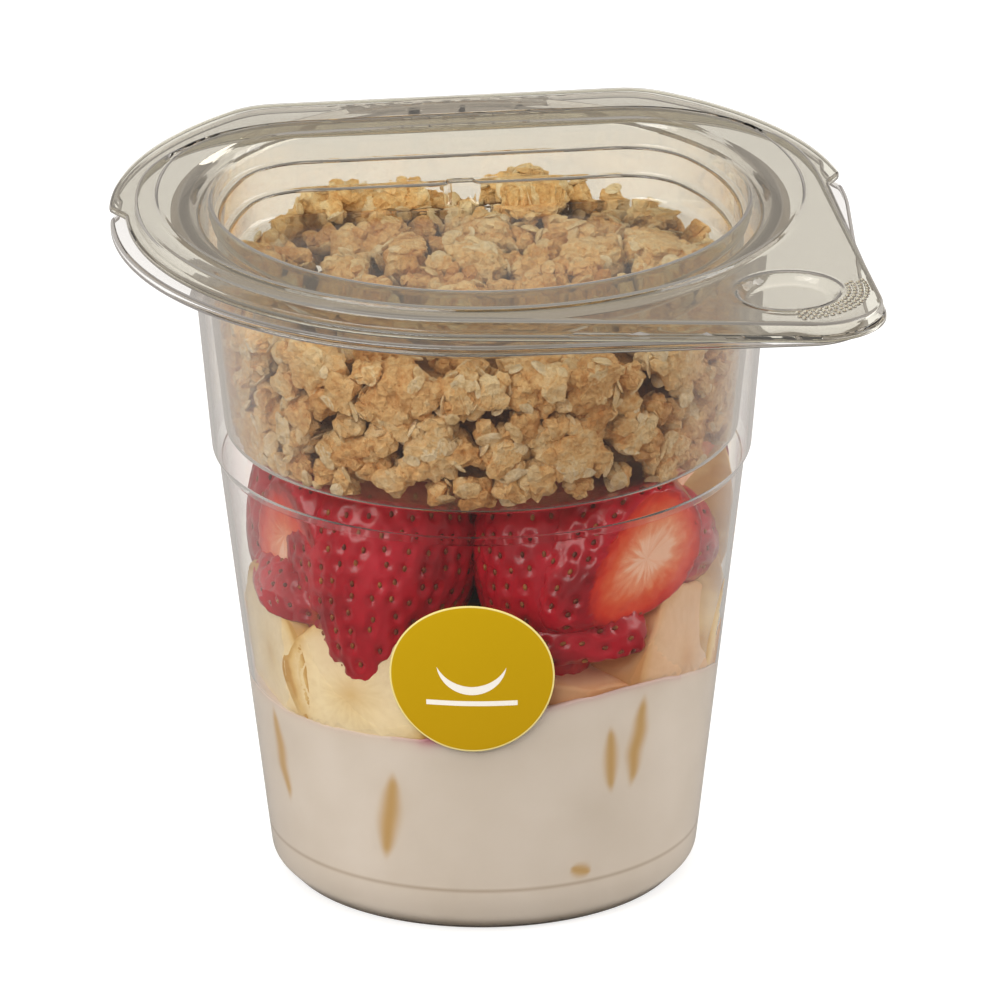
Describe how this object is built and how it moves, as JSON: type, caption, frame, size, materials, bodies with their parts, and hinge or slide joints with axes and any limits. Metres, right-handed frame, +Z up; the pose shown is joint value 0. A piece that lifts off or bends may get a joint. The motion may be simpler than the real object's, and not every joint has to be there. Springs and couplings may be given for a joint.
{
  "type": "yogurt parfait cup",
  "caption": "Clear tumbler of yogurt, sliced banana and strawberries, with a granola insert and a clear tear-open lid that has a D-shaped sunk panel.",
  "frame": {"origin": "on the floor under the cup's axis, in the plane of the foot ring", "axes": "+Z up along the cup's axis, +Y towards the lid's straight tear edge, +X to the right seen from the label side; the corner ear points between +X and -Y"},
  "size_m": [0.1144, 0.1104, 0.111],
  "materials": {
    "cup_plastic": "clear glossy PET",
    "insert_plastic": "clear glossy PET",
    "lid_plastic": "clear glossy PET",
    "label_paper": "glossy coated paper sticker",
    "strawberry": "wet fruit skin",
    "strawberry_cut": "wet cut fruit",
    "banana": "moist cut fruit",
    "yogurt": "smooth and moist",
    "granola": "dry baked oats"
  },
  "bodies": {
    "root": {"banana_back": "banana", "banana_back_left": "banana", "banana_back_middle_left": "banana", "banana_back_middle_right": "banana", "banana_back_right": "banana", "banana_far_left": "banana", "banana_far_right": "banana", "banana_front_left": "banana", "banana_front_right": "banana", "banana_low_right": "banana", "banana_tall_right": "banana", "cup": "cup_plastic", "granola": "granola", "insert": "insert_plastic", "label": "label_paper", "lid": "lid_plastic", "strawberry_back": "strawberry", "strawberry_back_right": "strawberry", "strawberry_cut_back_left": "strawberry_cut", "strawberry_cut_back_right": "strawberry_cut", "strawberry_cut_far_right": "strawberry_cut", "strawberry_cut_left": "strawberry_cut", "strawberry_cut_right": "strawberry_cut", "strawberry_end_right": "strawberry", "strawberry_front_left": "strawberry", "strawberry_front_middle": "strawberry", "strawberry_left": "strawberry", "strawberry_low_middle": "strawberry", "strawberry_strip_left": "strawberry", "strawberry_strip_right": "strawberry", "yogurt": "yogurt"}
  },
  "joints": []
}
